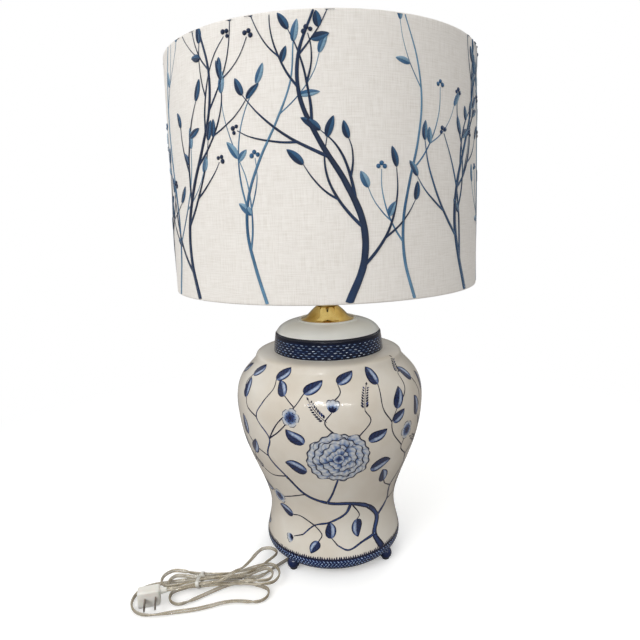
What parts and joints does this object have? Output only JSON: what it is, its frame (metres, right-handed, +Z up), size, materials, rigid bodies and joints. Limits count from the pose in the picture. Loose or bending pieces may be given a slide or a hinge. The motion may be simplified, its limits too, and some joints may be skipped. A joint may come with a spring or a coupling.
{
  "type": "ginger jar table lamp",
  "caption": "Table lamp with a painted ginger jar body, brass cap, harp and embroidered linen drum shade, its cord folded in a hank beside it.",
  "frame": {"origin": "on the table under the lamp's vertical axis, at the underside of the foot pads", "axes": "+Z up along the lamp's axis, -Y towards the viewer, +X to the viewer's right"},
  "size_m": [0.4622, 0.4064, 0.6774],
  "materials": {
    "glaze": "glossy cream glaze, painted in cobalt",
    "lid_glaze": "glossy pale glaze with a navy band",
    "felt": "matt felt",
    "brass": "polished",
    "satin_brass": "satin",
    "steel": "zinc plated",
    "rubber": "matt",
    "card": "matt card tube",
    "phenolic": "dark moulded resin",
    "lead": "clear insulation over tinned cores",
    "bulb_glass": "frosted",
    "black_glass": "glossy",
    "bulb_cap": "rolled thread",
    "styrene": "white sheet",
    "linen": "plain woven linen, embroidered in blues",
    "shade_wire": "white enamel on wire",
    "white_plastic": "white moulded",
    "natural_plastic": "natural",
    "blade": "plain"
  },
  "bodies": {
    "lamp": {"jar_body": "glaze", "foot_pads": "felt", "jar_lid": "lid_glaze", "vase_cap": "brass", "lamp_rod": "steel", "base_nut": "steel", "base_lock_washer": "steel", "base_washer": "steel", "base_pad": "rubber", "check_ring": "brass", "neck_tube": "brass", "saddle_locknut": "satin_brass", "harp_saddle": "satin_brass", "socket_cap": "satin_brass", "socket_set_screw": "steel", "socket_shell": "satin_brass", "socket_liner": "card", "switch_block": "phenolic", "terminal_screws": "brass", "socket_leads": "lead", "screw_shell": "brass", "centre_contact": "brass", "rod_bushing": "natural_plastic", "lead_in_rod": "lead", "cord_lead": "lead", "cord_hank": "lead", "cord_tail": "lead", "cord_tie": "white_plastic", "plug_body": "white_plastic", "plug_blades": "blade"},
    "switch": {"switch_shaft": "steel", "switch_knob": "phenolic"},
    "bulb": {"bulb_glass": "bulb_glass", "bulb_screw_cap": "bulb_cap", "bulb_insulator": "black_glass", "bulb_contact": "steel"},
    "harp": {"harp": "satin_brass"},
    "sleeve_left": {"harp_sleeve_left": "satin_brass"},
    "sleeve_right": {"harp_sleeve_right": "satin_brass"},
    "stud": {"harp_stud": "satin_brass"},
    "shade": {"shade_cover": "linen", "shade_liner": "styrene", "shade_spider": "shade_wire", "shade_bottom_ring": "shade_wire"},
    "finial": {"finial": "brass"}
  },
  "joints": [
    {"name": "switch_turn", "type": "hinge", "parent": "lamp", "child": "switch", "pos_m": [0, -0.02, 0.417], "axis": [0, 1, 0], "continuous": true},
    {"name": "bulb_unscrew", "type": "slide", "parent": "lamp", "child": "bulb", "axis": [0, 0, 1], "range_m": [0, 0.024]},
    {"name": "harp_lift", "type": "slide", "parent": "lamp", "child": "harp", "axis": [0, 0, 1], "range_m": [0, 0.02]},
    {"name": "sleeve_left_lift", "type": "slide", "parent": "harp", "child": "sleeve_left", "axis": [0, 0, 1], "range_m": [0, 0.017]},
    {"name": "sleeve_right_lift", "type": "slide", "parent": "harp", "child": "sleeve_right", "axis": [0, 0, 1], "range_m": [0, 0.017]},
    {"name": "shade_turn", "type": "hinge", "parent": "harp", "child": "stud", "pos_m": [0, 0, 0.6475], "axis": [0, 0, 1], "continuous": true},
    {"name": "shade_lift", "type": "slide", "parent": "stud", "child": "shade", "axis": [0, 0, 1], "range_m": [0, 0.04]},
    {"name": "finial_unscrew", "type": "slide", "parent": "shade", "child": "finial", "axis": [0, 0, 1], "range_m": [0, 0.012]}
  ]
}
